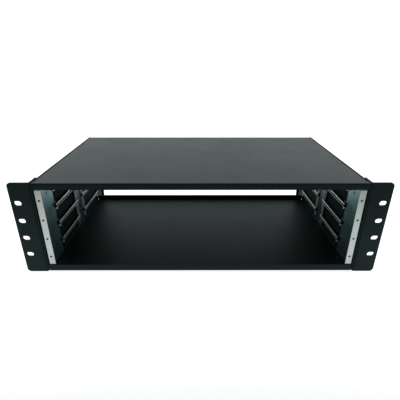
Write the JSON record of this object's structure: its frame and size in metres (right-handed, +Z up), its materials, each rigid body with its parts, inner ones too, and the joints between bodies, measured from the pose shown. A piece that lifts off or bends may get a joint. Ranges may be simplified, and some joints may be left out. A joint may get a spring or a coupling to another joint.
{
  "type": "subrack card cage",
  "caption": "Rack-mount card cage open at front and rear: folded chassis and cover, slotted ears, zinc brackets and side card guides for flat modules.",
  "frame": {"origin": "centre of the bounding box at its bottom, under the middle of the cage", "axes": "+X across the rack to the right as seen from the front, +Y from the front face to the rear, +Z up"},
  "size_m": [0.4826, 0.244, 0.1325],
  "materials": {
    "black_powder_coat": "fine-textured semi-matt powder coat on folded steel",
    "zinc_plate": "bright zinc plate with a faint blue cast",
    "guide_plate": "bright zinc plate",
    "black_screw": "black finished steel, slightly glossy",
    "rivet_steel": "dark plated steel, dull"
  },
  "bodies": {
    "root": {"chassis": "black_powder_coat", "top_cover": "black_powder_coat", "left_rack_ear": "black_powder_coat", "right_rack_ear": "black_powder_coat", "left_front_bracket": "zinc_plate", "right_front_bracket": "zinc_plate", "left_mid_bracket": "zinc_plate", "right_mid_bracket": "zinc_plate", "left_rear_bracket": "zinc_plate", "right_rear_bracket": "zinc_plate", "left_front_guide_1": "guide_plate", "left_front_guide_2": "guide_plate", "left_front_guide_3": "guide_plate", "left_front_guide_4": "guide_plate", "left_rear_guide_1": "guide_plate", "left_rear_guide_2": "guide_plate", "left_rear_guide_3": "guide_plate", "left_rear_guide_4": "guide_plate", "right_front_guide_1": "guide_plate", "right_front_guide_2": "guide_plate", "right_front_guide_3": "guide_plate", "right_front_guide_4": "guide_plate", "right_rear_guide_1": "guide_plate", "right_rear_guide_2": "guide_plate", "right_rear_guide_3": "guide_plate", "right_rear_guide_4": "guide_plate", "left_ear_screws": "black_screw", "left_cover_screws": "black_screw", "left_bracket_rivets": "rivet_steel", "left_panel_nuts": "zinc_plate", "right_ear_screws": "black_screw", "right_cover_screws": "black_screw", "right_bracket_rivets": "rivet_steel", "right_panel_nuts": "zinc_plate"}
  },
  "joints": []
}
